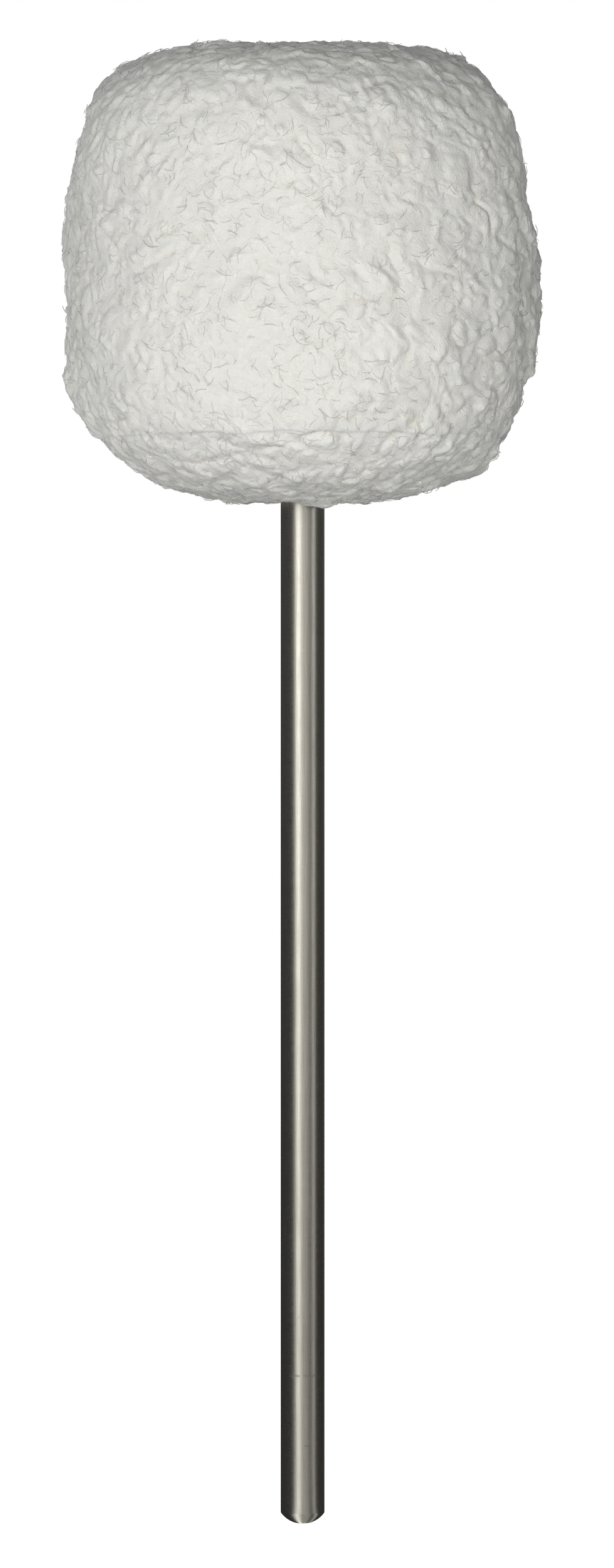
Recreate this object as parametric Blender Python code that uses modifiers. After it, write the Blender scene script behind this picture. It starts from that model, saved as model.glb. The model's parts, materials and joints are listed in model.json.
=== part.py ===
"""Bass drum beater: a felt head in a sewn fleece cover, clamped on a round steel shaft.

Metres, +Z up. The origin is the middle of the shaft's lower end, the shaft runs up into the head,
and the front of the beater faces -Y.
"""

import math

import bmesh
import bpy
from mathutils import Matrix, Vector

MM = 0.001

# Fits: pieces that touch on the real beater are this far apart here
TOUCH = 0.3 * MM

# Shaft: an 8 mm rod, which takes an M8 thread as it is, here a plain cylinder at its pitch line
SHAFT_DIAMETER = 8.0 * MM
SHAFT_DOME_HEIGHT = 1.63 * MM
SHAFT_TIP_FLAT = 2.6 * MM
SHAFT_RIM_ROUND = 0.4 * MM
SHAFT_SHOWN = 186.3 * MM
THREAD_DEPTH = 0.4 * MM
THREAD_CHAMFER = 0.8 * MM
THREAD_RUNOUT = 0.7 * MM
THREAD_PROUD_OF_NUT = 1.8 * MM

# Fasteners
WASHER_DIAMETER = 24.0 * MM
WASHER_THICKNESS = 1.6 * MM
WASHER_EDGE_ROUND = 0.3 * MM
NUT_ACROSS_FLATS = 13.0 * MM
NUT_CHAMFER = 0.7 * MM
NUT_CHAMFER_ANGLE = math.radians(30.0)
NUT_COUNTERSINK = 0.6 * MM
JAM_NUT_HEIGHT = 4.0 * MM
HEAD_NUT_HEIGHT = 6.5 * MM
SPRING_WASHER_DIAMETER = 14.8 * MM
SPRING_WASHER_THICKNESS = 2.0 * MM
SPRING_WASHER_SLIT = 1.2 * MM
SPRING_WASHER_SLIT_TILT = math.radians(25.0)

# Felt core: glued discs
FELT_DIAMETER = 65.0 * MM
FELT_DISC_THICKNESS = 19.8 * MM
FELT_EDGE_RADIUS = 15.0 * MM
FELT_PLUG_THICKNESS = 3.0 * MM
POCKET_WALL_GAP = 1.0 * MM

# Fleece cover: backing and pile together
FLEECE_SIDE = 9.7 * MM
FLEECE_TOP = 9.8 * MM
CROWN_FULLNESS = 4.0
BASE_FULLNESS = 3.05
NECK_LIP_ROUND = 0.8 * MM
SEAM_GAP = 0.3 * MM
SIDE_SEAM_AZIMUTH = math.radians(-26.0)
SEAM_SLOPE = math.radians(45.0)

# Thread that closes the cover
SEAM_THREAD_DIAMETER = 0.6 * MM
SEAM_THREAD_SWING = 1.2 * MM
SEAM_THREAD_BED = 0.4 * MM
RING_STITCHES = 24
SIDE_STITCHES = 9
DRAW_THREAD_DIAMETER = 0.8 * MM
DRAW_THREAD_PITCH = 1.25 * MM
DRAW_THREAD_TURNS = 2
HEM_LIFT = 1.2 * MM
HEM_WALL = 0.8 * MM

# Lumps of the pile: azimuth and elevation in degrees, height in millimetres, spread in degrees.
# Azimuth 0 is the right-hand outline, 180 the left-hand one and -90 the front.
LUMPS = (
    (0, 22, -2.4, 9),
    (0, 42, -1.9, 9),
    (0, 60, 1.2, 8),
    (0, 77, 1.0, 8),
    (0, -6, 0.8, 8),
    (0, -30, -0.5, 8),
    (0, -47, 1.1, 7),
    (0, -66, 0.8, 8),
    (180, 60, 0.6, 10),
    (180, 13, 0.9, 8),
    (180, -8, 0.7, 9),
    (180, -28, 2.0, 8),
    (180, -63, 0.6, 9),
    (-90, 8, 0.7, 26),
    (-90, -66, 0.7, 13),
    (-90, 66, -0.6, 13),
    (-62, -38, 0.9, 13),
    (-118, 44, 0.7, 14),
    (-40, 40, -0.9, 12),
    (-135, -34, 0.7, 14),
    (-30, 2, 0.8, 12),
    (90, 30, 0.9, 15),
    (68, -30, 1.2, 14),
    (116, -8, -0.9, 14),
    (132, 44, -0.8, 13),
    (48, 6, -0.8, 14),
    (100, -60, 0.8, 14),
    (80, 62, 0.7, 14),
    (150, 8, 0.7, 13),
)

# Finishes: colour, roughness, metallic
GROUND_STEEL = ((0.56, 0.55, 0.51), 0.32, 1.0)
PLATED_STEEL = ((0.66, 0.66, 0.64), 0.38, 1.0)
HARD_FELT = ((0.62, 0.60, 0.55), 0.95, 0.0)
WHITE_FLEECE = ((0.84, 0.84, 0.81), 0.95, 0.0)
SEWING_THREAD = ((0.72, 0.70, 0.64), 0.7, 0.0)

# Facets: steps round the axis, and pieces along each stretch of a profile or a thread
SHAFT_STEPS = 32
DISC_STEPS = 48
NUT_STEPS = 24
COVER_STEPS = 48
DOME_PIECES = 6
FELT_EDGE_PIECES = 6
LINING_PIECES = 3
CROWN_PIECES = 8
SIDE_PIECES = 14
STITCH_POINTS = 4
DRAW_TURN_POINTS = 24
THREAD_BEVEL = 1
SHARP_ANGLE = math.radians(35.0)
MERGE_DISTANCE = 0.01 * MM
SURFACE_SLACK = 0.05 * MM

# Radii that more than one piece takes its size from
shaft_radius = SHAFT_DIAMETER / 2
thread_radius = shaft_radius - THREAD_DEPTH
neck_bore = shaft_radius + TOUCH
felt_radius = FELT_DIAMETER / 2
washer_radius = WASHER_DIAMETER / 2
pocket_radius = washer_radius + POCKET_WALL_GAP
nut_corner = NUT_ACROSS_FLATS / math.sqrt(3.0)
lining_radius = FELT_EDGE_RADIUS + TOUCH

# Room that the overcast stitches take beside the seam and into the fleece
stitch_room = SEAM_THREAD_SWING + SEAM_THREAD_DIAMETER / 2 + SEAM_THREAD_BED
stitch_depth = SEAM_THREAD_DIAMETER + 2 * SEAM_THREAD_BED

# Levels, from the underside of the head upwards
hem_floor = SHAFT_SHOWN + HEM_LIFT
hem_height = DRAW_THREAD_DIAMETER + DRAW_THREAD_TURNS * DRAW_THREAD_PITCH + 2 * TOUCH
jam_nut_base = hem_floor + hem_height + HEM_WALL + TOUCH
lower_washer_base = jam_nut_base + JAM_NUT_HEIGHT + TOUCH
core_base = lower_washer_base + WASHER_THICKNESS + TOUCH
disc_rise = FELT_DISC_THICKNESS + TOUCH
core_height = 2 * disc_rise + FELT_DISC_THICKNESS
core_top = core_base + core_height
core_middle = core_base + core_height / 2
thread_start = jam_nut_base - THREAD_RUNOUT
head_top = core_top + TOUCH + FLEECE_TOP
head_middle = (SHAFT_SHOWN + head_top) / 2
head_half_height = (head_top - SHAFT_SHOWN) / 2
head_half_width = felt_radius + TOUCH + FLEECE_SIDE

# Levels of the pocket in the top disc, from its mouth downwards
plug_base = core_top - FELT_PLUG_THICKNESS
shaft_top = plug_base - TOUCH
head_nut_base = shaft_top - THREAD_PROUD_OF_NUT - HEAD_NUT_HEIGHT
spring_washer_base = head_nut_base - TOUCH - SPRING_WASHER_THICKNESS
upper_washer_base = spring_washer_base - TOUCH - WASHER_THICKNESS
pocket_floor = upper_washer_base - TOUCH


def clear_scene():
    for obj in list(bpy.data.objects):
        bpy.data.objects.remove(obj, do_unlink=True)


def new_collection(name):
    collection = bpy.data.collections.new(name)
    bpy.context.scene.collection.children.link(collection)
    return collection


def material(name, finish):
    colour, roughness, metallic = finish
    made = bpy.data.materials.new(name)
    made.use_nodes = True
    shader = made.node_tree.nodes["Principled BSDF"]
    shader.inputs["Base Color"].default_value = (*colour, 1.0)
    shader.inputs["Roughness"].default_value = roughness
    shader.inputs["Metallic"].default_value = metallic
    return made


def place(obj, collection, finish, height, parent):
    """Give an object its finish and its height above the shaft's lower end."""
    collection.objects.link(obj)
    obj.data.materials.clear()
    obj.data.materials.append(finish)
    obj.location = (0.0, 0.0, height)
    obj.parent = parent
    return obj


def arc(middle, radius, start, end, pieces):
    """Points of a round stretch of a profile, from one angle to another, in radians."""
    points = []
    for i in range(pieces + 1):
        angle = start + (end - start) * i / pieces
        points.append((middle[0] + radius * math.cos(angle), middle[1] + radius * math.sin(angle)))
    return points


def turned(name, profile, steps, closed=False):
    """A turned shape: (radius, height) points that run down the outer side, spun round Z."""
    mesh = bpy.data.meshes.new(name)
    points = [(radius, 0.0, height) for radius, height in profile]
    edges = [(i, i + 1) for i in range(len(points) - 1)]
    if closed:
        edges.append((len(points) - 1, 0))
    mesh.from_pydata(points, edges, [])
    obj = bpy.data.objects.new(name, mesh)
    screw = obj.modifiers.new("turn", "SCREW")
    screw.steps = steps
    screw.render_steps = steps
    screw.use_merge_vertices = True
    screw.merge_threshold = MERGE_DISTANCE
    screw.use_smooth_shade = True
    return obj


def settled(obj, collection):
    """The object with its modifiers made into its mesh, and sharp edges kept sharp."""
    collection.objects.link(obj)
    graph = bpy.context.evaluated_depsgraph_get()
    mesh = bpy.data.meshes.new_from_object(obj.evaluated_get(graph))
    collection.objects.unlink(obj)
    name = obj.name
    bpy.data.objects.remove(obj, do_unlink=True)
    mesh.name = name
    mesh.shade_smooth()
    mesh.set_sharp_from_angle(angle=SHARP_ANGLE)
    return bpy.data.objects.new(name, mesh)


def hide_cutter(name, shape, cutters):
    """A hidden object, made from a bmesh, that a Boolean takes away or meets."""
    mesh = bpy.data.meshes.new(name)
    shape.to_mesh(mesh)
    shape.free()
    obj = bpy.data.objects.new(name, mesh)
    cutters.objects.link(obj)
    obj.hide_render = True
    obj.display_type = "WIRE"
    return obj


def cutter_box(name, size, middle, turn, cutters):
    shape = bmesh.new()
    bmesh.ops.create_cube(shape, size=1.0)
    bmesh.ops.scale(shape, vec=size, verts=shape.verts)
    bmesh.ops.transform(shape, matrix=turn @ Matrix.Translation(middle), verts=shape.verts)
    return hide_cutter(name, shape, cutters)


def boolean(obj, other, operation):
    cut = obj.modifiers.new(operation.lower(), "BOOLEAN")
    cut.operation = operation
    cut.solver = "EXACT"
    cut.object = other


def shaft():
    """Domed lower end, straight rod, run-out and thread, chamfered tip."""
    flat = SHAFT_TIP_FLAT / 2
    rim = shaft_radius - SHAFT_RIM_ROUND / 2
    dome_middle = (rim**2 + SHAFT_DOME_HEIGHT**2 - flat**2) / (2 * SHAFT_DOME_HEIGHT)
    dome_radius = math.hypot(flat, dome_middle)
    start = math.atan2(SHAFT_DOME_HEIGHT - dome_middle, rim)
    end = math.atan2(-dome_middle, flat)
    profile = [
        (0.0, shaft_top),
        (thread_radius - THREAD_CHAMFER, shaft_top),
        (thread_radius, shaft_top - THREAD_CHAMFER),
        (thread_radius, thread_start),
        (shaft_radius, thread_start - THREAD_DEPTH),
        (shaft_radius, SHAFT_DOME_HEIGHT + SHAFT_RIM_ROUND),
    ]
    profile += arc((0.0, dome_middle), dome_radius, start, end, DOME_PIECES)
    profile.append((0.0, 0.0))
    return turned("shaft", profile, SHAFT_STEPS)


def washer(name):
    edge = WASHER_EDGE_ROUND
    top = WASHER_THICKNESS
    profile = [
        (neck_bore, top),
        (washer_radius - edge, top),
        (washer_radius, top - edge),
        (washer_radius, edge),
        (washer_radius - edge, 0.0),
        (neck_bore, 0.0),
    ]
    return turned(name, profile, SHAFT_STEPS, closed=True)


def spring_washer(cutters):
    """A split ring, its slit cut at a slant."""
    outer = SPRING_WASHER_DIAMETER / 2
    top = SPRING_WASHER_THICKNESS
    profile = [(neck_bore, top), (outer, top), (outer, 0.0), (neck_bore, 0.0)]
    ring = turned("spring_washer", profile, SHAFT_STEPS, closed=True)
    slant = Matrix.Translation((0.0, 0.0, top / 2)) @ Matrix.Rotation(SPRING_WASHER_SLIT_TILT, 4, "X")
    past_both_faces = 4 * top
    size = (outer, SPRING_WASHER_SLIT, past_both_faces)
    middle = ((outer + neck_bore) / 2, 0.0, 0.0)
    slit = cutter_box("spring_washer_slit", size, middle, slant, cutters)
    slit.location = (0.0, 0.0, spring_washer_base)
    boolean(ring, slit, "DIFFERENCE")
    return ring


def hex_nut(name, height, base, cutters):
    """A hexagonal bar met by a turned blank that carries the chamfers, bore and countersinks."""
    bore = thread_radius + TOUCH
    face = nut_corner - NUT_CHAMFER / math.tan(NUT_CHAMFER_ANGLE)
    flare = bore + NUT_COUNTERSINK
    profile = [
        (flare, height),
        (face, height),
        (nut_corner, height - NUT_CHAMFER),
        (nut_corner, NUT_CHAMFER),
        (face, 0.0),
        (flare, 0.0),
        (bore, NUT_COUNTERSINK),
        (bore, height - NUT_COUNTERSINK),
    ]
    nut = turned(name, profile, NUT_STEPS, closed=True)
    past_both_faces = 2 * height
    shape = bmesh.new()
    bmesh.ops.create_cone(
        shape,
        cap_ends=True,
        segments=6,
        radius1=nut_corner,
        radius2=nut_corner,
        depth=past_both_faces,
        matrix=Matrix.Translation((0.0, 0.0, height / 2)),
    )
    bar = hide_cutter(name + "_bar", shape, cutters)
    bar.location = (0.0, 0.0, base)
    boolean(nut, bar, "INTERSECT")
    return nut


def felt_edge(side):
    """The rounded edge of an end disc, from its outer wall to its end face or the other way."""
    across = felt_radius - FELT_EDGE_RADIUS
    if side > 0:
        middle = (across, FELT_DISC_THICKNESS - FELT_EDGE_RADIUS)
        return arc(middle, FELT_EDGE_RADIUS, math.radians(90.0), 0.0, FELT_EDGE_PIECES)
    middle = (across, FELT_EDGE_RADIUS)
    return arc(middle, FELT_EDGE_RADIUS, 0.0, math.radians(-90.0), FELT_EDGE_PIECES)


def felt_lower():
    """Bottom disc, measured up from its own lower face."""
    profile = [(neck_bore, FELT_DISC_THICKNESS), (felt_radius, FELT_DISC_THICKNESS)]
    profile += felt_edge(-1)
    profile.append((neck_bore, 0.0))
    return turned("felt_disc_lower", profile, DISC_STEPS, closed=True)


def felt_middle():
    top = FELT_DISC_THICKNESS
    profile = [(neck_bore, top), (felt_radius, top), (felt_radius, 0.0), (neck_bore, 0.0)]
    return turned("felt_disc_middle", profile, DISC_STEPS, closed=True)


def felt_upper():
    """Top disc, with the pocket that takes the washers, the nut and the plug."""
    floor = FELT_DISC_THICKNESS - (core_top - pocket_floor)
    profile = [(pocket_radius, FELT_DISC_THICKNESS)]
    profile += felt_edge(1)
    profile += [(felt_radius, 0.0), (neck_bore, 0.0), (neck_bore, floor), (pocket_radius, floor)]
    return turned("felt_disc_upper", profile, DISC_STEPS, closed=True)


def felt_plug():
    outer = pocket_radius - TOUCH
    top = FELT_PLUG_THICKNESS
    return turned("felt_plug", [(0.0, top), (outer, top), (outer, 0.0), (0.0, 0.0)], SHAFT_STEPS)


def head_radius(elevation):
    """Distance from the head's middle to the plain barrel's surface, before the lumps."""
    fullness = CROWN_FULLNESS if elevation >= 0.0 else BASE_FULLNESS
    across = abs(math.cos(elevation) / head_half_width) ** fullness
    upward = abs(math.sin(elevation) / head_half_height) ** fullness
    return (across + upward) ** (-1.0 / fullness)


def barrel_point(elevation):
    radius = head_radius(elevation)
    return (radius * math.cos(elevation), radius * math.sin(elevation))


def barrel(start, end, pieces):
    """Profile points of the barrel between two elevations, measured from the head's middle."""
    return [barrel_point(start + (end - start) * i / pieces) for i in range(pieces + 1)]


def lump_rise(direction):
    """How far the pile stands in or out of the plain barrel, in a direction from its middle."""
    rise = 0.0
    for azimuth, elevation, height, spread in LUMPS:
        turn = math.radians(azimuth)
        climb = math.radians(elevation)
        centre = Vector((
            math.cos(climb) * math.cos(turn),
            math.cos(climb) * math.sin(turn),
            math.sin(climb),
        ))
        away = direction.angle(centre) / math.radians(spread)
        rise += height * MM * math.exp(-0.5 * away * away)
    return rise


def raise_lumps(obj):
    """Move the points of the barrel's surface along their direction from the head's middle."""
    for vertex in obj.data.vertices:
        direction = vertex.co.normalized()
        if abs(vertex.co.length - head_radius(math.asin(direction.z))) < SURFACE_SLACK:
            vertex.co += direction * lump_rise(direction)


def lining_point(side, slope, depth=0.0):
    """A point of the cover's inner face on the core's rounded edge, at a slope from the level.

    side is 1 for the upper edge and -1 for the lower one, and depth goes into the fleece.
    """
    radius = lining_radius + depth
    across = felt_radius - FELT_EDGE_RADIUS
    upward = core_height / 2 - FELT_EDGE_RADIUS
    middle = core_middle - head_middle
    return (
        across + radius * math.cos(slope),
        middle + side * (upward + radius * math.sin(slope)),
    )


def lining_arc(side, start, end):
    pieces = LINING_PIECES
    return [lining_point(side, start + (end - start) * i / pieces) for i in range(pieces + 1)]


def edge_elevation(side, towards):
    """Elevation at which a panel's pile ends beside the seam.

    towards is 1 for the panel beyond the seam, at the head's end, and -1 for the side band.
    """
    across, upward = lining_point(side, SEAM_SLOPE)
    seam = math.atan2(upward, across)
    return seam + side * towards * SEAM_GAP / 2 / head_radius(seam)


def bed_slope(towards):
    """Slope at which a panel's lining begins beside the seam's thread."""
    return SEAM_SLOPE + towards * stitch_room / lining_radius


def seam_wall(side, towards):
    """Profile points of a panel's sewn edge: down the seam, then back over the thread's bed."""
    half_gap = SEAM_GAP / 2 / lining_radius
    return [
        lining_point(side, SEAM_SLOPE + towards * half_gap, stitch_depth),
        lining_point(side, bed_slope(towards), stitch_depth),
    ]


def fleece_top(collection):
    """Top panel: the crown of the pile outside, the felt's upper face inside."""
    crown = math.radians(90.0)
    profile = [(0.0, head_half_height)]
    profile += barrel(crown, edge_elevation(1, 1), CROWN_PIECES)[1:]
    profile += seam_wall(1, 1)
    profile += lining_arc(1, bed_slope(1), crown)
    profile.append((0.0, core_top + TOUCH - head_middle))
    panel = settled(turned("fleece_top_panel", profile, COVER_STEPS), collection)
    raise_lumps(panel)
    return panel


def fleece_side(collection, cutters):
    """Side band: one strip whose ends meet at the upright seam."""
    profile = barrel(edge_elevation(1, -1), edge_elevation(-1, -1), SIDE_PIECES)
    profile += seam_wall(-1, -1)
    profile += lining_arc(-1, bed_slope(-1), 0.0)
    profile += lining_arc(1, 0.0, bed_slope(-1))
    profile += seam_wall(1, -1)[::-1]
    band = settled(turned("fleece_side_band", profile, COVER_STEPS, closed=True), collection)
    raise_lumps(band)

    turn = Matrix.Rotation(SIDE_SEAM_AZIMUTH, 4, "Z")
    size = (head_half_width, SEAM_GAP, 2 * head_half_height)
    slit = cutter_box("side_seam_slit", size, (head_half_width, 0.0, 0.0), turn, cutters)
    size = (2 * stitch_depth, 2 * stitch_room, core_height - 2 * FELT_EDGE_RADIUS)
    middle = (felt_radius + TOUCH, 0.0, core_middle - head_middle)
    groove = cutter_box("side_seam_bed", size, middle, turn, cutters)
    for cutter in (slit, groove):
        cutter.location = (0.0, 0.0, head_middle)
        boolean(band, cutter, "DIFFERENCE")
    return band


def fleece_bottom(collection):
    """Bottom panel: drawn in round the shaft, hollowed for the jam nut and the lower washer."""
    nut_room = nut_corner + TOUCH
    washer_room = washer_radius + TOUCH
    hem_radius = neck_bore + DRAW_THREAD_DIAMETER + TOUCH
    neck_elevation = -math.acos((neck_bore + NECK_LIP_ROUND) / head_half_height)
    inside = [
        (neck_bore, SHAFT_SHOWN + NECK_LIP_ROUND),
        (neck_bore, hem_floor),
        (hem_radius, hem_floor),
        (hem_radius, hem_floor + hem_height),
        (neck_bore, hem_floor + hem_height),
        (neck_bore, jam_nut_base - TOUCH),
        (nut_room, jam_nut_base - TOUCH),
        (nut_room, lower_washer_base - TOUCH),
        (washer_room, lower_washer_base - TOUCH),
        (washer_room, core_base - TOUCH),
    ]
    profile = barrel(edge_elevation(-1, 1), neck_elevation, CROWN_PIECES)
    profile += [(across, height - head_middle) for across, height in inside]
    profile += lining_arc(-1, math.radians(90.0), bed_slope(1))
    profile += seam_wall(-1, 1)[::-1]
    panel = settled(turned("fleece_bottom_panel", profile, COVER_STEPS, closed=True), collection)
    raise_lumps(panel)
    return panel


def thread_tube(name, points, diameter, cyclic=False):
    """A thread along points, as a curve with a round bevel."""
    curve = bpy.data.curves.new(name, "CURVE")
    curve.dimensions = "3D"
    curve.bevel_depth = diameter / 2
    curve.bevel_resolution = THREAD_BEVEL
    curve.use_fill_caps = not cyclic
    spline = curve.splines.new("POLY")
    spline.points.add(len(points) - 1)
    for knot, point in zip(spline.points, points):
        knot.co = (*point, 1.0)
    spline.use_cyclic_u = cyclic
    return bpy.data.objects.new(name, curve)


def stitch_swing(i):
    """How far an overcast stitch stands to one side of the seam at its point i."""
    return SEAM_THREAD_SWING * math.sin(2 * math.pi * (i + 0.5) / STITCH_POINTS)


def ring_seam_thread(name, side):
    """Overcast stitches that swing across the seam all the way round the felt's edge."""
    points = []
    count = STITCH_POINTS * RING_STITCHES
    depth = SEAM_THREAD_BED + SEAM_THREAD_DIAMETER / 2
    for i in range(count):
        across, upward = lining_point(side, SEAM_SLOPE + stitch_swing(i) / lining_radius, depth)
        turn = 2 * math.pi * i / count
        points.append((across * math.cos(turn), across * math.sin(turn), upward))
    return thread_tube(name, points, SEAM_THREAD_DIAMETER, cyclic=True)


def side_seam_thread():
    """Overcast stitches up the seam that closes the side band."""
    points = []
    count = STITCH_POINTS * SIDE_STITCHES
    tall = core_height - 2 * FELT_EDGE_RADIUS - 2 * SEAM_THREAD_DIAMETER
    across = felt_radius + TOUCH + SEAM_THREAD_BED + SEAM_THREAD_DIAMETER / 2
    turn = Matrix.Rotation(SIDE_SEAM_AZIMUTH, 3, "Z")
    for i in range(count + 1):
        upward = core_middle - head_middle + tall * (i / count - 0.5)
        points.append(turn @ Vector((across, stitch_swing(i), upward)))
    return thread_tube("side_seam_thread", points, SEAM_THREAD_DIAMETER)


def neck_draw_thread():
    """Turns of waxed thread in the bottom panel's hem, wound upwards round the shaft."""
    radius = neck_bore + DRAW_THREAD_DIAMETER / 2
    points = []
    for i in range(DRAW_THREAD_TURNS * DRAW_TURN_POINTS + 1):
        turn = 2 * math.pi * i / DRAW_TURN_POINTS
        rise = DRAW_THREAD_PITCH * i / DRAW_TURN_POINTS
        points.append(Vector((radius * math.cos(turn), radius * math.sin(turn), rise)))
    lead_in = points[0] + (points[0] - points[1]).normalized() * DRAW_THREAD_DIAMETER
    lead_out = points[-1] + (points[-1] - points[-2]).normalized() * DRAW_THREAD_DIAMETER
    points = [lead_in] + points + [lead_out]
    print_least_gap("neck_draw_thread", points, DRAW_THREAD_DIAMETER, DRAW_TURN_POINTS // 2)
    return thread_tube("neck_draw_thread", points, DRAW_THREAD_DIAMETER)


def print_least_gap(name, points, diameter, apart):
    """Print how close a wound thread comes to itself, between points at least half a turn apart."""
    least = min(
        (points[i] - points[j]).length
        for i in range(len(points))
        for j in range(i + apart, len(points))
    )
    print(f"{name}: least gap to itself {(least - diameter) / MM:.2f} mm")


def build():
    clear_scene()
    parts = new_collection("bass_drum_beater")
    cutters = new_collection("cutters")
    root = bpy.data.objects.new("beater_origin", None)
    parts.objects.link(root)

    steel = material("ground_steel", GROUND_STEEL)
    plated = material("plated_steel", PLATED_STEEL)
    felt = material("hard_felt", HARD_FELT)
    fleece = material("white_fleece", WHITE_FLEECE)
    thread = material("sewing_thread", SEWING_THREAD)

    place(shaft(), parts, steel, 0.0, root)
    place(hex_nut("jam_nut", JAM_NUT_HEIGHT, jam_nut_base, cutters), parts, plated, jam_nut_base, root)
    place(washer("lower_washer"), parts, plated, lower_washer_base, root)
    place(felt_lower(), parts, felt, core_base, root)
    place(felt_middle(), parts, felt, core_base + disc_rise, root)
    place(felt_upper(), parts, felt, core_base + 2 * disc_rise, root)
    place(washer("upper_washer"), parts, plated, upper_washer_base, root)
    place(spring_washer(cutters), parts, plated, spring_washer_base, root)
    place(hex_nut("head_nut", HEAD_NUT_HEIGHT, head_nut_base, cutters), parts, plated, head_nut_base, root)
    place(felt_plug(), parts, felt, plug_base, root)
    place(fleece_side(parts, cutters), parts, fleece, head_middle, root)
    place(fleece_top(parts), parts, fleece, head_middle, root)
    place(fleece_bottom(parts), parts, fleece, head_middle, root)
    place(ring_seam_thread("top_seam_thread", 1), parts, thread, head_middle, root)
    place(ring_seam_thread("bottom_seam_thread", -1), parts, thread, head_middle, root)
    place(side_seam_thread(), parts, thread, head_middle, root)
    draw_thread_base = hem_floor + TOUCH + DRAW_THREAD_DIAMETER / 2
    place(neck_draw_thread(), parts, thread, draw_thread_base, root)


build()
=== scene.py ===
"""Looks of the bass drum beater: tufted white fleece, satin ground rod, felt and plated fasteners."""

import json
import math

import bpy
import numpy as np
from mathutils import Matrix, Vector, noise


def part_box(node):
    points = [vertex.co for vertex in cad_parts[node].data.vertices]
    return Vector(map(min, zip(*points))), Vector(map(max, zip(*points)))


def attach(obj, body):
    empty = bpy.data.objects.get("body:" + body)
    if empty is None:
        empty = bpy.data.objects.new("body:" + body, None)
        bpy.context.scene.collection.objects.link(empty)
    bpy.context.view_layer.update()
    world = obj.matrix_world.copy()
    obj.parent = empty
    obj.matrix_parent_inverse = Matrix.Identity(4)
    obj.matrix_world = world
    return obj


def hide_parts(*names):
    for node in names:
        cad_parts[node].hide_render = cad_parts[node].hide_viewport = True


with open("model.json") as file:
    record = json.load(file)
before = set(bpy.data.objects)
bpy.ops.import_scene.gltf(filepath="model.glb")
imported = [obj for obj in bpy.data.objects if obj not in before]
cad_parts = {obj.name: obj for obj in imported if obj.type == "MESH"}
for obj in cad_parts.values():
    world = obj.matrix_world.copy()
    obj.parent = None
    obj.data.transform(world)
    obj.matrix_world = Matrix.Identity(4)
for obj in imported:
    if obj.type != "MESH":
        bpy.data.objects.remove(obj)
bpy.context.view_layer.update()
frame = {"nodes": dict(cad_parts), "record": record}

MM = 0.001

# Head: the barrel that the pile stands on, in millimetres
HEAD_BASE = 186.3
HEAD_TOP = 268.8
HEAD_HALF_WIDTH = 42.5
CROWN_FULLNESS = 4.0
BASE_FULLNESS = 3.05
HEAD_MIDDLE = (HEAD_BASE + HEAD_TOP) / 2
HEAD_HALF_HEIGHT = (HEAD_TOP - HEAD_BASE) / 2

# Felt core, and the room that the seams' stitches take outside it
CORE_RADIUS = 32.5
CORE_EDGE_ROUND = 15.0
BACKING_CLEARANCE = 1.9

# Elevations where the panels meet outside, and slopes of the core's edge where their backings end
POLE = math.radians(90.0)
TOP_SEAM = math.radians(42.6)
BOTTOM_SEAM = math.radians(-39.5)
SIDE_BACKING_END = math.radians(44.0)
CAP_BACKING_START = math.radians(46.0)

# Neck: how the bottom panel ends at the rod, and how its relief calms down over the last stretch
ROD_RADIUS = 4.0
NECK_CLEARANCE = 0.12
NECK_LIP = 0.8
NECK_CALM = 4.0
NECK_LEAST_RELIEF = 0.15

# Room inside the bottom panel for the draw thread, the nut and the washer
FASTENER_GAP = 0.25
NUT_CORNER_ROOM = 1.0
WASHER_OVERLAP = 1.0

# Tuft that hangs over the front of the neck: azimuth and spread in degrees, drop and reach in mm
NECK_TUFT_AZIMUTH = -62.0
NECK_TUFT_SPREAD = 34.0
NECK_TUFT_DROP = 1.3
NECK_TUFT_REACH = 3.5

# Broad lumps of the pile: azimuth, elevation, height in millimetres, spread in degrees.
# Azimuth 0 is the right-hand outline, 180 the left-hand one and -90 the front.
LUMPS = (
    (0, 22, -2.4, 9), (0, 42, -1.9, 9), (0, 60, 1.2, 8), (0, 77, 1.0, 8), (0, -6, 0.8, 8),
    (0, -30, -0.5, 8), (0, -47, 1.1, 7), (0, -66, 0.8, 8), (180, 60, 0.6, 10), (180, 13, 0.9, 8),
    (180, -8, 0.7, 9), (180, -28, 2.0, 8), (180, -63, 0.6, 9), (-90, 8, 0.7, 26),
    (-90, -66, 0.7, 13), (-90, 66, -0.6, 13), (-62, -38, 0.9, 13), (-118, 44, 0.7, 14),
    (-40, 40, -0.9, 12), (-135, -34, 0.7, 14), (-30, 2, 0.8, 12), (90, 30, 0.9, 15),
    (68, -30, 1.2, 14), (116, -8, -0.9, 14), (132, 44, -0.8, 13), (48, 6, -0.8, 14),
    (100, -60, 0.8, 14), (80, 62, 0.7, 14), (150, 8, 0.7, 13),
)

# Smaller dents and tufts along the outline that the front shows
TUFTS = (
    (180, 50, -1.1, 2.2), (180, 44, 0.6, 3.2), (180, 33, -0.6, 5.0), (180, 4, 0.5, 3.0),
    (180, -41, -0.9, 2.0), (180, -50, -0.5, 4.0), (180, -57, 0.5, 3.0), (0, 27, -0.7, 3.0),
    (0, 9, -0.4, 3.0), (0, -8, 0.5, 2.6), (0, -42, -0.9, 2.4), (0, -52, 0.6, 3.0),
    (0, 68, -0.9, 5.0), (0, 52, 0.6, 3.0), (0, 86, -0.5, 5.0), (180, 82, -1.0, 6.0),
    (180, 72, -0.6, 5.0), (0, -56, -0.8, 5.0), (0, -80, -0.7, 5.0),
)

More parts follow.
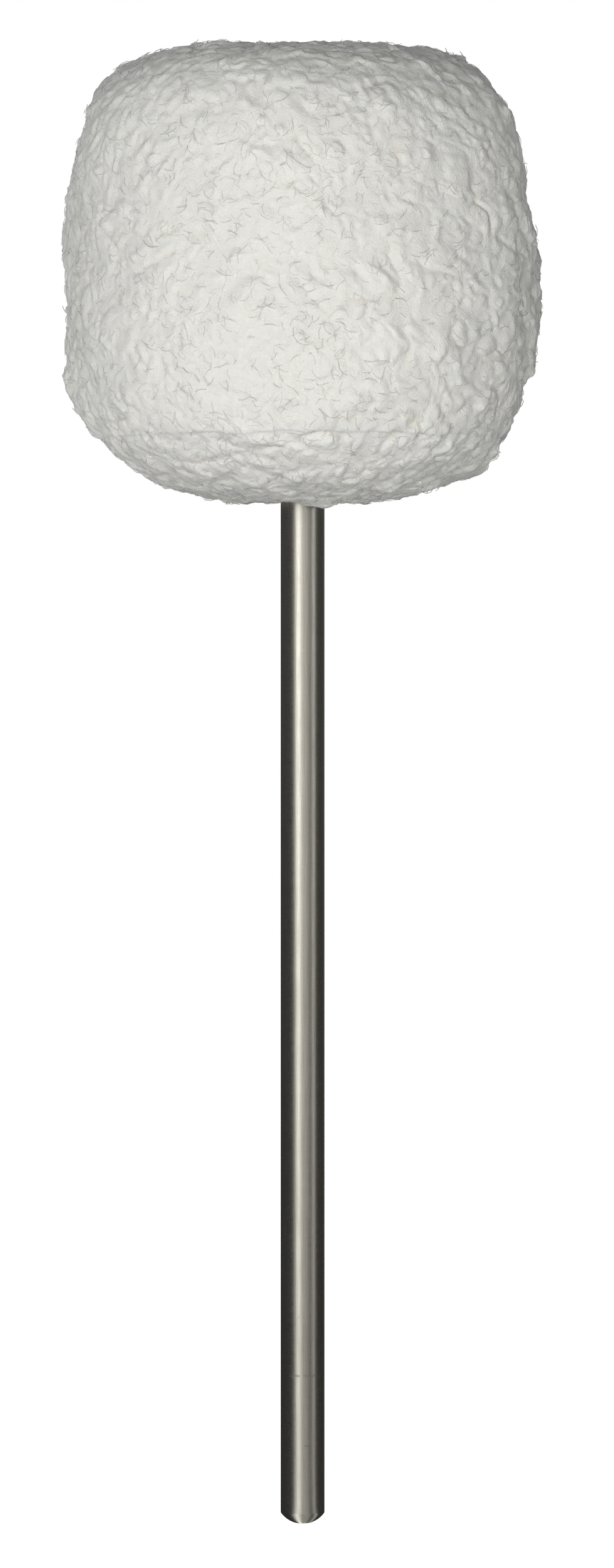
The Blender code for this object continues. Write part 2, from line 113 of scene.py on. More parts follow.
# Layers of the pile's relief: sizes, heights and reaches in millimetres, softness in noise values
PILE_SEED = 11
WARP_SIZE = 8.0
WARP_REACH = 2.2
CURL_REACH = 0.9
TUFT_SIZE = 6.5
TUFT_HEIGHT = 1.7
TUFT_SOFTNESS = 0.06
CURL_SIZE = 2.7
CURL_HEIGHT = 0.85
CURL_SOFTNESS = 0.05
SWELL_SIZE = 13.0
SWELL_HEIGHT = 0.5
GRAIN_SIZE = 1.3
GRAIN_HEIGHT = 0.10
GRAIN_FALL = 0.8
GRAIN_FREQUENCY_STEP = 2.0
GRAIN_OCTAVES = 2
MEAN_RELIEF = 0.55

# Where the tufts part: in patches, and more to the right and lower down, as in the photograph.
# The patches' size and the creases' depth are in millimetres, and the limits are noise values.
# The creases also carry painted shade into the fleece's colour, so more of it falls to the right and lower
# down.
PATCH_SIZE = 9.0
MORE_TO_THE_RIGHT = 0.30
MORE_LOWER_DOWN = 0.28
PARTED_FROM = -0.30
PARTED_TO = 0.50
CLOSED_SHARE = 0.45
BROKEN_FROM = -0.05
BROKEN_TO = 0.30
CREASE_WIDTH = 0.07
CREASE_DEPTH = 0.45

# Shifts that keep the layers of noise from lining up
FINE_BEND_SHIFT = Vector((9.0, 4.0, 2.0))
PATCH_SHIFT = Vector((2.0, 8.0, 6.0))
BREAK_SHIFT = Vector((5.0, 1.0, 7.0))
CURL_SHIFT = Vector((3.0, 7.0, 5.0))

# Grid of the pile
COLUMNS = 600
SIDE_ROWS = 150
CAP_ROWS = 105
BACKING_ROWS = 8
TURNS = np.arange(COLUMNS) * 2.0 * math.pi / COLUMNS

# Loose fibres that lie on the pile: lengths in millimetres, and the bow as a share of half a fibre
FIBRE_LENGTH = 2.4
FIBRE_RADIUS = 0.06
FIBRE_LIFT = 0.42
FIBRE_SINK = 0.16
FIBRE_BOW = 0.7
FIBRE_SEGMENTS = 3
FIBRE_SIDES = 3
FIBRE_LEAST_SCALE = 0.6
FIBRE_MOST_SCALE = 1.35
FIBRE_SCALE_SEED = 4
FIBRES_PER_PANEL = {"side": 5400, "top": 2600, "bottom": 2300}

# Rod: a flat-tipped dome, a softened rim, the straight, then the thread's plain cylinder.
# Lengths are in millimetres, and the rim's points are shares of its round.
ROD_STEPS = 128
ROD_DOME_RADIUS = 4.9
ROD_DOME_PIECES = 18
ROD_TIP_FLAT = 1.3
ROD_RIM_ROUND = 0.35
ROD_RIM_INSET = 0.03
RIM_CUT_SHARE = 0.5
RIM_BEND_SHARE = 0.55
RIM_TOP_SHARE = 1.3
ROD_STRAIGHT_START = 4.0
ROD_STRAIGHT_POINTS = 40
THREAD_RADIUS = 3.6
THREAD_BELOW_NUT = 0.7
THREAD_SHOULDER = 0.4
ROD_TOP_BEVEL = 0.8
ROD_TOP_RADIUS = 2.8
ROD_SHARP_ANGLE = math.radians(28.0)

# Clamp marks on the rod, in metres: a faint ring, and pits that thicken towards the lower end
CLAMP_RING_HEIGHT = 0.027
CLAMP_RING_WIDTH = 0.00025
PITS_END = 0.045
PITS_FULL = 0.018

# Colours of the finishes, with painted shade in the fleece's creases and in the thread's hollows
WOOL_GREYER = (0.85, 0.845, 0.815, 1.0)
WOOL_WHITER = (0.885, 0.88, 0.85, 1.0)
# painted shade: the beige that the creases between tufts are darkened to
WOOL_CREASE_PAINTED_SHADE = (0.76, 0.715, 0.60, 1.0)
STEEL_DULL = (0.50, 0.485, 0.44, 1.0)
STEEL_CLEAN = (0.60, 0.59, 0.545, 1.0)
STEEL_STREAK = (0.47, 0.455, 0.41, 1.0)
STEEL_MARK = (0.30, 0.28, 0.24, 1.0)
ZINC_BLUER = (0.58, 0.59, 0.60, 1.0)
ZINC_PALER = (0.72, 0.72, 0.69, 1.0)
FELT_DARKER = (0.56, 0.53, 0.47, 1.0)
FELT_PALER = (0.70, 0.68, 0.62, 1.0)
FELT_FLECK = (0.38, 0.35, 0.30, 1.0)
# painted shade: the darker colour of the thread's twist hollows
THREAD_HOLLOW_PAINTED_SHADE = (0.60, 0.57, 0.49, 1.0)
THREAD_CROWN = (0.78, 0.76, 0.69, 1.0)

# World: soft light on matt surfaces, less of it from above and a little less from the right
WORLD_WHITE = (1.0, 1.0, 1.0, 1.0)
WORLD_LOW_TINT = (1.0, 0.985, 0.95, 1.0)
WORLD_HIGH_TINT = (0.90, 0.97, 1.0, 1.0)
WORLD_TINT_FROM = -0.2
WORLD_TINT_TO = 1.0
WORLD_LESS_RIGHT = 0.10
WORLD_LESS_ABOVE = 0.96
WORLD_DIMS_FROM = -0.15
WORLD_DIMS_TO = 0.72

# Floor, in metres
FLOOR_HALF = 4.0
FLOOR_DROP = 0.0004
FLOOR_GREY = (0.86, 0.86, 0.86, 1.0)
FLOOR_LIFT = 0.9

# Cards round the beater that only the metal reflects, in metres
TENT_RADIUS = 0.7
TENT_LOW = -0.0002
TENT_HIGH = 0.75
TENT_SIDES = 180
TENT_TINT = (1.0, 0.985, 0.94, 1.0)
TENT_DARK = 0.07
TENT_FOOT_SHARE = 0.46
TENT_FADE_FROM = -0.06
TENT_FADE_TO = 0.24

# Pale strips on the cards: bearing from the front and spread in degrees, then brightness
STRIPS = (
    (-22.0, 15.0, 2.6),
    (14.0, 22.0, 0.75),
    (59.0, 9.0, 1.05),
    (158.0, 12.0, 0.12),
)

# Lamps: name, place and side in metres, power in watts, colour
LAMPS = (
    ("key", (-0.10, -1.16, 0.12), 0.45, 7.3, (1.0, 0.995, 0.975)),
    ("floor_fill", (-0.05, -0.35, 0.03), 0.14, 0.34, (1.0, 0.985, 0.95)),
)

# Camera: the photograph's frame is 285.7 mm tall at the beater
CAMERA_DISTANCE = 1.5
FRAME_TALL = 0.2857
SENSOR = 36.0
CAMERA_HEIGHT = 0.1346
CAMERA_SIDE = 0.0008


class Term:
    """A value that varies over a surface, so that sums of nodes read as plain arithmetic."""

    def __init__(self, graph, socket):
        self.graph = graph
        self.socket = socket

    def __add__(self, other):
        return self.graph.maths("ADD", self, other)

    def __radd__(self, other):
        return self.graph.maths("ADD", other, self)

    def __sub__(self, other):
        return self.graph.maths("SUBTRACT", self, other)

    def __rsub__(self, other):
        return self.graph.maths("SUBTRACT", other, self)

    def __mul__(self, other):
        return self.graph.maths("MULTIPLY", self, other)

    def __rmul__(self, other):
        return self.graph.maths("MULTIPLY", other, self)

    def __truediv__(self, other):
        return self.graph.maths("DIVIDE", self, other)


class Graph:
    """A node tree that is written from Python."""

    def __init__(self, tree):
        self.tree = tree
        tree.nodes.clear()

    def add(self, kind, settings=None, inputs=None, output=0):
        """A node of a kind, with its settings made first, then its sockets' values or links."""
        node = self.tree.nodes.new(kind)
        for name, value in (settings or {}).items():
            setattr(node, name, value)
        for name, value in (inputs or {}).items():
            if isinstance(value, Term):
                self.tree.links.new(value.socket, node.inputs[name])
            else:
                node.inputs[name].default_value = value
        if not node.outputs:
            return node
        return Term(self, node.outputs[output])

    def beside(self, term, name):
        """Another output of the node that a term comes from."""
        return Term(self, term.socket.node.outputs[name])

    def maths(self, operation, first, second=0.0):
        return self.add("ShaderNodeMath", {"operation": operation}, {0: first, 1: second})

    def blend(self, factor, first, second):
        """Two colours mixed by a factor, at the Mix node's sockets 6 and 7."""
        settings = {"data_type": "RGBA"}
        return self.add("ShaderNodeMix", settings, {"Factor": factor, 6: first, 7: second}, 2)

    def place(self, scale=(1.0, 1.0, 1.0)):
        """Object coordinates, scaled."""
        point = self.add("ShaderNodeTexCoord", None, None, "Object")
        return self.add("ShaderNodeMapping", None, {"Vector": point, "Scale": scale})

    def part(self, vector, axis):
        """One part of a vector: its X, Y or Z."""
        return self.add("ShaderNodeSeparateXYZ", None, {"Vector": vector}, axis)

    def speckle(self, point, size, detail=3.0, distortion=0.0):
        """Noise from 0 to 1 whose grains are about size metres across."""
        inputs = {"Vector": point, "Scale": 1.0 / size, "Detail": detail, "Distortion": distortion}
        return self.add("ShaderNodeTexNoise", None, inputs, "Fac")

    def ramp(self, value, low, high):
        """The value taken from low..high to 0..1, smoothly."""
        settings = {"interpolation_type": "SMOOTHSTEP"}
        inputs = {"Value": value, "From Min": low, "From Max": high}
        return self.add("ShaderNodeMapRange", settings, inputs)

    def bell(self, value, middle, spread):
        """A rise to 1 round a middle value."""
        away = (value - middle) / spread
        return self.maths("EXPONENT", -1.0 * away * away)

    def bump(self, height, distance, strength):
        """A normal bent by a height from 0 to 1 that stands for a distance in metres."""
        inputs = {"Height": height, "Distance": distance, "Strength": strength}
        return self.add("ShaderNodeBump", None, inputs)

    def seen_by(self, first, *others):
        """1 for rays of the named kinds and 0 for all other rays."""
        seen = self.add("ShaderNodeLightPath", None, None, first)
        rays = seen
        for name in others:
            seen = self.maths("MAXIMUM", seen, self.beside(rays, name))
        return seen


def blank_material(name):
    """A new material and its empty graph."""
    made = bpy.data.materials.new(name)
    made.use_nodes = True
    return made, Graph(made.node_tree)


def surface(name, build):
    """A material whose graph is built by a function, which returns the shader's inputs."""
    made, graph = blank_material(name)
    shader = graph.add("ShaderNodeBsdfPrincipled", None, build(graph))
    graph.add("ShaderNodeOutputMaterial", None, {"Surface": shader})
    return made


def fleece_finish(graph):
    """Matt white wool: painted beige shade in the creases, a little uneven, with curly fibre grain."""
    point = graph.place()
    crease = graph.add("ShaderNodeAttribute", {"attribute_name": "crease"}, None, "Fac")
    cloudy = graph.speckle(point, size=0.011, detail=2.0)
    curly = graph.speckle(point, size=0.0011, detail=4.0, distortion=1.6)
    fine = graph.speckle(point, size=0.00035, detail=3.0, distortion=1.0)
    base = graph.blend(cloudy, WOOL_GREYER, WOOL_WHITER)
    height = curly * 0.6 + fine * 0.4
    return {
        # painted shade: the creases are darkened towards beige in the colour
        "Base Color": graph.blend(crease * 0.6, base, WOOL_CREASE_PAINTED_SHADE),
        "Roughness": 0.92 + 0.06 * curly,
        "Normal": graph.bump(height, distance=0.00045, strength=0.75),
        "Sheen Weight": 0.25,
        "Sheen Roughness": 0.6,
        "Specular IOR Level": 0.1,
        "Subsurface Weight": 0.5,
        "Subsurface Radius": (1.0, 0.95, 0.85),
        "Subsurface Scale": 0.0012,
    }


def rod_finish(graph):
    """Ground steel: fine grain along the rod, mottled, with faint clamp marks near its lower end."""
    point = graph.place()
    height = graph.part(point, "Z")
    streak = graph.speckle(graph.place((1.0, 1.0, 0.03)), size=0.00022)
    mottle = graph.speckle(point, size=0.0013, detail=4.0, distortion=0.4)
    patch = graph.speckle(graph.place((1.0, 1.0, 0.4)), size=0.009, detail=2.0)
    ring = graph.bell(height, CLAMP_RING_HEIGHT, CLAMP_RING_WIDTH) * graph.ramp(mottle, 0.4, 0.6)
    pitted = graph.ramp(graph.speckle(point, size=0.0021, detail=2.0), 0.70, 0.76)
    pits = pitted * graph.ramp(height, PITS_END, PITS_FULL)
    marks = graph.maths("MAXIMUM", ring * 0.7, pits)
    clean = graph.blend(patch, STEEL_DULL, STEEL_CLEAN)
    grained = graph.blend(graph.ramp(streak, 0.3, 0.75), clean, STEEL_STREAK)
    relief = streak * 0.6 + mottle * 0.4 - marks * 1.5
    return {
        "Base Color": graph.blend(marks, grained, STEEL_MARK),
        "Metallic": 1.0,
        "Roughness": 0.21 + 0.09 * mottle + 0.05 * streak + 0.15 * marks,
        "Normal": graph.bump(relief, distance=0.00003, strength=0.35),
    }


def plated_finish(graph):
    """Zinc plate: pale, a little blotched, with rolled grain."""
    blotch = graph.speckle(graph.place(), size=0.003)
    grain = graph.speckle(graph.place((1.0, 0.08, 1.0)), size=0.0003, detail=2.0)
    return {
        "Base Color": graph.blend(blotch, ZINC_BLUER, ZINC_PALER),
        "Metallic": 1.0,
        "Roughness": 0.30 + 0.16 * blotch,
        "Normal": graph.bump(grain, distance=0.00003, strength=0.4),
    }


def felt_finish(graph):
    """Pressed wool felt: grey-cream with darker fibres and a matted nap."""
    point = graph.place()
    fibre = graph.speckle(point, size=0.0007, detail=5.0, distortion=2.2)
    flecks = graph.ramp(graph.speckle(point, size=0.0011, distortion=1.5), 0.58, 0.70)
    base = graph.blend(fibre, FELT_DARKER, FELT_PALER)
    return {
        "Base Color": graph.blend(flecks * 0.5, base, FELT_FLECK),
        "Roughness": 0.90 + 0.08 * fibre,
        "Normal": graph.bump(fibre, distance=0.0003, strength=0.7),
    }


def thread_finish(graph):
    """Waxed sewing thread: cream, with its twist showing as slanting bands of painted shade in the hollows.
    """
    bands = {"Vector": graph.place((1.0, 1.0, 1.6)), "Scale": 260.0, "Distortion": 1.5}
    twist = graph.add("ShaderNodeTexWave", {"bands_direction": "DIAGONAL"}, bands, "Fac")
    return {
        # painted shade: the twist's hollows take the darker colour
        "Base Color": graph.blend(twist, THREAD_HOLLOW_PAINTED_SHADE, THREAD_CROWN),
        "Roughness": 0.55 + 0.2 * twist,
        "Normal": graph.bump(twist, distance=0.0001, strength=0.6),
    }


def linked(name, data):
    """A new object in the scene, at the origin."""
    obj = bpy.data.objects.new(name, data)
    bpy.context.scene.collection.objects.link(obj)
    return obj


def dress(obj, finish):
    """The object, with one material."""
    obj.data.materials.clear()
    obj.data.materials.append(finish)
    return obj


def head_radius(elevation):
    """Distance from the head's middle to the plain barrel, at an array of elevations."""
    fullness = np.where(elevation >= 0.0, CROWN_FULLNESS, BASE_FULLNESS)
    across = np.abs(np.cos(elevation) / HEAD_HALF_WIDTH) ** fullness
    upward = np.abs(np.sin(elevation) / HEAD_HALF_HEIGHT) ** fullness
    return (across + upward) ** (-1.0 / fullness)


def broad_rise(directions, bumps):
    """Rise of the pile from a list of bumps, in unit directions from the head's middle."""
    rise = np.zeros(len(directions))
    for azimuth, elevation, height, spread in bumps:
        turn = math.radians(azimuth)
        climb = math.radians(elevation)
        centre = (math.cos(climb) * math.cos(turn), math.cos(climb) * math.sin(turn), math.sin(climb))
        away = np.arccos(np.clip(directions @ np.array(centre), -1.0, 1.0)) / math.radians(spread)
        rise += height * np.exp(-0.5 * away**2)
    return rise


def smooth(value, low, high):
    """The value taken from low..high to 0..1, smoothly."""
    share = min(max((value - low) / (high - low), 0.0), 1.0)
    return share * share * (3.0 - 2.0 * share)


def billow(point, size, softness):
    """Puffy noise: nothing along the folds between tufts, and most on the tufts' crowns."""
    return math.sqrt(noise.noise(point / size) ** 2 + softness**2) - softness


def tuft_relief(point):
    """Height in millimetres and crease strength of the pile at a point, from its tufts and curls."""
    bend = noise.noise_vector(point / WARP_SIZE) * WARP_REACH
    fine_bend = noise.noise_vector(point / CURL_SIZE + FINE_BEND_SHIFT) * CURL_REACH
    warped = point + bend + fine_bend
    leaning = MORE_TO_THE_RIGHT * point.x / HEAD_HALF_WIDTH - MORE_LOWER_DOWN * point.z / HEAD_HALF_HEIGHT
    patchy = noise.noise(point / PATCH_SIZE + PATCH_SHIFT)
    parted = smooth(patchy + leaning, PARTED_FROM, PARTED_TO)
    broken = smooth(noise.noise(point / TUFT_SIZE + BREAK_SHIFT), BROKEN_FROM, BROKEN_TO)
    fold = abs(noise.noise(warped / TUFT_SIZE))
    crease = (1.0 - smooth(fold, 0.0, CREASE_WIDTH)) * parted * broken
    fullness = CLOSED_SHARE + (1.0 - CLOSED_SHARE) * parted
    height = TUFT_HEIGHT * billow(warped, TUFT_SIZE, TUFT_SOFTNESS) * fullness
    height += CURL_HEIGHT * billow(warped + CURL_SHIFT, CURL_SIZE, CURL_SOFTNESS)
    height += SWELL_HEIGHT * noise.noise(point / SWELL_SIZE)
    grain = noise.fractal(warped / GRAIN_SIZE, GRAIN_FALL, GRAIN_FREQUENCY_STEP, GRAIN_OCTAVES)
    height += GRAIN_HEIGHT * grain
    return height - MEAN_RELIEF - CREASE_DEPTH * crease, crease


def neck_tuft(turn, across):
    """How far the pile hangs down over the front of the rod's neck."""
    away = (np.degrees(turn) - NECK_TUFT_AZIMUTH + 180.0) % 360.0 - 180.0
    sideways = np.exp(-0.5 * (away / NECK_TUFT_SPREAD) ** 2)
    return NECK_TUFT_DROP * sideways * np.exp(-0.5 * ((across - ROD_RADIUS) / NECK_TUFT_REACH) ** 2)


def grid_normals(points):
    """Outward normals at all rings of a pile but its first and last."""
    grid = points.reshape(-1, COLUMNS, 3)
    around = np.roll(grid, -1, 1) - np.roll(grid, 1, 1)
    downward = grid[2:] - grid[:-2]
    normals = np.cross(downward, around[1:-1])
    normals /= np.linalg.norm(normals, axis=2, keepdims=True)
    return normals.reshape(-1, 3)


def pile_points(start, end, pieces):
    """The pile between two elevations: its displaced points, their normals and the crease strength.

    A row more at each end is worked out for the normals, so that no seam shows in the shading.
    """
    elevations = start + (end - start) * np.arange(-1, pieces + 2) / pieces
    rows = np.repeat(elevations, COLUMNS)
    turn = np.tile(TURNS, len(elevations))
    directions = np.stack([np.cos(rows) * np.cos(turn), np.cos(rows) * np.sin(turn), np.sin(rows)], 1)
    radius = head_radius(rows)
    sites = directions * radius[:, None]
    heights, creases = np.array([tuft_relief(Vector(site)) for site in sites]).T
    rise = broad_rise(directions, LUMPS) + broad_rise(directions, TUFTS) + heights

    lower = rows < 0.0
    across = radius * np.cos(rows)
    near_rod = np.clip((across - ROD_RADIUS) / NECK_CALM, NECK_LEAST_RELIEF, 1.0)
    rise = np.where(lower, rise * near_rod, rise)
    points = directions * (radius + rise)[:, None]
    points[:, 2] -= neck_tuft(turn, across) * lower
    reach = np.hypot(points[:, 0], points[:, 1])
    least = ROD_RADIUS + NECK_CLEARANCE
    in_rod = (reach < least) & lower
    points[in_rod, :2] *= (least / reach[in_rod])[:, None]
    points[:, 2] += HEAD_MIDDLE

    kept = slice(COLUMNS, -COLUMNS)
    return points[kept], grid_normals(points), creases[kept]


def backing_profile(side, start, end):
    """Profile of a panel's inner face round the core's rounded edge, between two slopes."""
    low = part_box("felt_disc_lower")[0].z / MM
    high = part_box("felt_disc_upper")[1].z / MM
    middle = (low + high) / 2
    radius = CORE_EDGE_ROUND + BACKING_CLEARANCE
    points = []
    for i in range(BACKING_ROWS + 1):
        slope = start + (end - start) * i / BACKING_ROWS
        across = CORE_RADIUS - CORE_EDGE_ROUND + radius * math.cos(slope)
        upward = (high - low) / 2 - CORE_EDGE_ROUND + radius * math.sin(slope)
        points.append((across, middle + side * upward))
    return points


def swept(profile):
    """Rings of points for the plain inner profile of a panel."""
    rings = []
    for radius, height in profile:
        level = np.full(COLUMNS, height)
        rings.append(np.stack([radius * np.cos(TURNS), radius * np.sin(TURNS), level], 1))
    return np.concatenate(rings)


def panel_mesh(name, pile, inner, poles=None):
    """A closed panel: the displaced pile, then the plain inner rings.

    poles holds the heights where both ends close on the axis, or is None where the rings join up.
    """
    outer, slopes, creases = pile
    points = np.concatenate([outer, swept(inner)])
    count = len(points) // COLUMNS
    ring = np.arange(COLUMNS)
    after = (ring + 1) % COLUMNS
    faces = []
    joins = count - 1 if poles else count
    for row in range(joins):
        here = row * COLUMNS
        below = ((row + 1) % count) * COLUMNS
        quads = np.stack([here + ring, below + ring, below + after, here + after], 1)
        faces += quads.tolist()
    if poles:
        first = len(points)
        last = first + 1
        points = np.concatenate([points, [(0.0, 0.0, poles[0]), (0.0, 0.0, poles[1])]])
        end = (count - 1) * COLUMNS
        faces += [(first, int(i), int(j)) for i, j in zip(ring, after)]
        faces += [(last, int(end + j), int(end + i)) for i, j in zip(ring, after)]

    mesh = bpy.data.meshes.new(name)
    mesh.from_pydata((points * MM).tolist(), [], faces)
    mesh.shade_smooth()
    normals = np.zeros((len(points), 3))
    normals[: len(slopes)] = slopes
    mesh.normals_split_custom_set_from_vertices(normals.tolist())
    # crease strength, which the fleece's colour also uses as the mask of its painted shade
    strength = np.zeros(len(points), np.float32)
    strength[: len(creases)] = creases
    mesh.attributes.new("crease", "FLOAT", "POINT").data.foreach_set("value", strength)
    return linked(name, mesh)


def top_panel():
    """Fleece over the crown, from the pole down to the seam."""
    first = POLE + (TOP_SEAM - POLE) / (CAP_ROWS + 1)
    pile = pile_points(first, TOP_SEAM, CAP_ROWS)
    inner = backing_profile(1, CAP_BACKING_START, POLE)
    crown_height = float(pile[0][:COLUMNS, 2].mean())
    backing_height = inner[-1][1]
    return panel_mesh("top_pile", pile, inner, (crown_height, backing_height))


def side_panel():
    """Fleece round the side, between the two seams."""
    pile = pile_points(TOP_SEAM, BOTTOM_SEAM, SIDE_ROWS)
    inner = backing_profile(-1, SIDE_BACKING_END, 0.0)
    inner += backing_profile(1, 0.0, SIDE_BACKING_END)
    return panel_mesh("side_pile", pile, inner)


def bottom_panel():
    """Fleece under the head, drawn in round the rod and hollow over the nut and washer."""
    neck = -math.acos((ROD_RADIUS + NECK_LIP) / HEAD_HALF_HEIGHT)
    pile = pile_points(BOTTOM_SEAM, neck, CAP_ROWS)
    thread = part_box("neck_draw_thread")
    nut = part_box("jam_nut")
    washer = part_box("lower_washer")
    bore = ROD_RADIUS + NECK_CLEARANCE
    tunnel_radius = thread[1].x / MM + FASTENER_GAP
    tunnel_floor = thread[0].z / MM - FASTENER_GAP
    tunnel_roof = thread[1].z / MM + FASTENER_GAP
    nut_radius = nut[1].y / MM + NUT_CORNER_ROOM
    nut_floor = nut[0].z / MM - FASTENER_GAP
    nut_roof = nut[1].z / MM
    washer_radius = washer[1].x / MM + FASTENER_GAP
    washer_side = washer[1].z / MM - WASHER_OVERLAP
    inner = [
        (bore, HEAD_BASE + NECK_LIP),
        (bore, tunnel_floor),
        (tunnel_radius, tunnel_floor),
        (tunnel_radius, tunnel_roof),
        (bore, tunnel_roof),
        (bore, nut_floor),
        (nut_radius, nut_floor),
        (nut_radius, nut_roof),
        (washer_radius, nut_roof),
        (washer_radius, washer_side),
    ]
    inner += backing_profile(-1, POLE, CAP_BACKING_START)
    return panel_mesh("bottom_pile", pile, inner)


def fibre_tree():
    """Geometry Nodes that lay short bent fibres over a surface, turned at random."""
    tree = bpy.data.node_groups.new("pile_fibres", "GeometryNodeTree")
    kinds = {
        "Surface": "Geometry",
        "Density": "Float",
        "Length": "Float",
        "Radius": "Float",
        "Seed": "Int",
        "Finish": "Material",
    }
    for name, kind in kinds.items():
        tree.interface.new_socket(name, in_out="INPUT", socket_type="NodeSocket" + kind)
    tree.interface.new_socket("Fibres", in_out="OUTPUT", socket_type="NodeSocketGeometry")
    graph = Graph(tree)
    given = tree.nodes.new("NodeGroupInput")
    value = {name: Term(graph, given.outputs[name]) for name in kinds}

    spread = {"Mesh": value["Surface"], "Density": value["Density"], "Seed": value["Seed"]}
    points = graph.add("GeometryNodeDistributePointsOnFaces", None, spread, "Points")
    upright = graph.beside(points, "Rotation")
    half = value["Length"] * 0.5
    start = graph.add("ShaderNodeCombineXYZ", None, {"X": half * -1.0, "Z": -FIBRE_SINK * MM})
    middle = graph.add("ShaderNodeCombineXYZ", None, {"Y": half * FIBRE_BOW, "Z": FIBRE_LIFT * MM})
    end = graph.add("ShaderNodeCombineXYZ", None, {"X": half, "Z": -FIBRE_SINK * MM})
    bend = {"Resolution": FIBRE_SEGMENTS, "Start": start, "Middle": middle, "End": end}
    line = graph.add("GeometryNodeCurveQuadraticBezier", None, bend)
    ring = {"Resolution": FIBRE_SIDES, "Radius": value["Radius"]}
    section = graph.add("GeometryNodeCurvePrimitiveCircle", None, ring)
    tube = {"Curve": line, "Profile Curve": section, "Fill Caps": True}
    fibre = graph.add("GeometryNodeCurveToMesh", None, tube)

    # Sockets 2 and 3 of a random number are its least and most, and output 1 is the number
    number = {"data_type": "FLOAT"}
    spin = graph.add("FunctionNodeRandomValue", number, {3: 2.0 * math.pi}, 1)
    around = {"Axis": (0.0, 0.0, 1.0), "Angle": spin}
    turn = graph.add("FunctionNodeAxisAngleToRotation", None, around)
    turned = {"Rotation": upright, "Rotate By": turn}
    facing = graph.add("FunctionNodeRotateRotation", {"rotation_space": "LOCAL"}, turned)
    sizes = {2: FIBRE_LEAST_SCALE, 3: FIBRE_MOST_SCALE, "Seed": FIBRE_SCALE_SEED}
    size = graph.add("FunctionNodeRandomValue", number, sizes, 1)
    laid = {"Points": points, "Instance": fibre, "Rotation": facing, "Scale": size}
    strewn = graph.add("GeometryNodeInstanceOnPoints", None, laid)
    real = graph.add("GeometryNodeRealizeInstances", None, {"Geometry": strewn})
    finished = {"Geometry": real, "Material": value["Finish"]}
    dressed = graph.add("GeometryNodeSetMaterial", None, finished)
    graph.add("NodeGroupOutput", None, {"Fibres": dressed})
    return tree


def fibres_on(panel, name, tree, rows, count, seed, finish):
    """A plain mesh of the fibres that lie on a panel's pile, which is its first rows of faces."""
    pile = panel.data.polygons[: rows * COLUMNS]
    area = sum(face.area for face in pile)
    corners = [vertex.co for vertex in panel.data.vertices]
    skin = bpy.data.meshes.new(name + "_skin")
    skin.from_pydata(corners, [], [face.vertices[:] for face in pile])
    holder = linked(name, skin)
    modifier = holder.modifiers.new("fibres", "NODES")
    modifier.node_group = tree
    given = {
        "Density": count / area,
        "Length": FIBRE_LENGTH * MM,
        "Radius": FIBRE_RADIUS * MM,
        "Seed": seed,
        "Finish": finish,
    }
    for item in tree.interface.items_tree:
        if item.in_out == "INPUT" and item.name in given:
            modifier[item.identifier] = given[item.name]
    evaluated = holder.evaluated_get(bpy.context.evaluated_depsgraph_get())
    mesh = bpy.data.meshes.new_from_object(evaluated)
    bpy.data.objects.remove(holder)
    mesh.name = name
    mesh.shade_smooth()
    return linked(name, mesh)


def rod_profile():
    """(radius, height) points of the rod in millimetres, from the tip of the dome upwards."""
    middle = math.sqrt(ROD_DOME_RADIUS**2 - ROD_TIP_FLAT**2)
    rim = ROD_RADIUS - ROD_RIM_ROUND * RIM_CUT_SHARE
    rim_height = middle - math.sqrt(ROD_DOME_RADIUS**2 - rim**2)
    start = math.atan2(-middle, ROD_TIP_FLAT)
    end = math.atan2(rim_height - middle, rim)
    points = []
    for i in range(ROD_DOME_PIECES + 1):
        angle = start + (end - start) * i / ROD_DOME_PIECES
        points.append((ROD_DOME_RADIUS * math.cos(angle), middle + ROD_DOME_RADIUS * math.sin(angle)))
    points.append((ROD_RADIUS - ROD_RIM_INSET, rim_height + ROD_RIM_ROUND * RIM_BEND_SHARE))
    points.append((ROD_RADIUS, rim_height + ROD_RIM_ROUND * RIM_TOP_SHARE))

    thread_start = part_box("jam_nut")[0].z / MM - THREAD_BELOW_NUT
    straight_end = thread_start - THREAD_SHOULDER
    rod_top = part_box("shaft")[1].z / MM
    straight = np.linspace(ROD_STRAIGHT_START, straight_end, ROD_STRAIGHT_POINTS)
    points += [(ROD_RADIUS, height) for height in straight]
    points += [(THREAD_RADIUS, thread_start), (THREAD_RADIUS, rod_top - ROD_TOP_BEVEL)]
    points.append((ROD_TOP_RADIUS, rod_top))
    return points


def rod():
    """The shaft as a fine turned shape, so that its highlights run clean."""
    profile = rod_profile()
    turns = [2.0 * math.pi * i / ROD_STEPS for i in range(ROD_STEPS)]
    points = [(r * math.cos(t) * MM, r * math.sin(t) * MM, z * MM) for r, z in profile for t in turns]
    faces = []
    for row in range(len(profile) - 1):
        here = row * ROD_STEPS
        above = here + ROD_STEPS
        for i in range(ROD_STEPS):
            j = (i + 1) % ROD_STEPS
            faces.append((here + i, here + j, above + j, above + i))
    end = (len(profile) - 1) * ROD_STEPS
    faces.append(list(range(ROD_STEPS))[::-1])
    faces.append(list(range(end, end + ROD_STEPS)))
    mesh = bpy.data.meshes.new("rod")
    mesh.from_pydata(points, [], faces)
    mesh.shade_smooth()
    mesh.set_sharp_from_angle(angle=ROD_SHARP_ANGLE)
    return linked("rod", mesh)


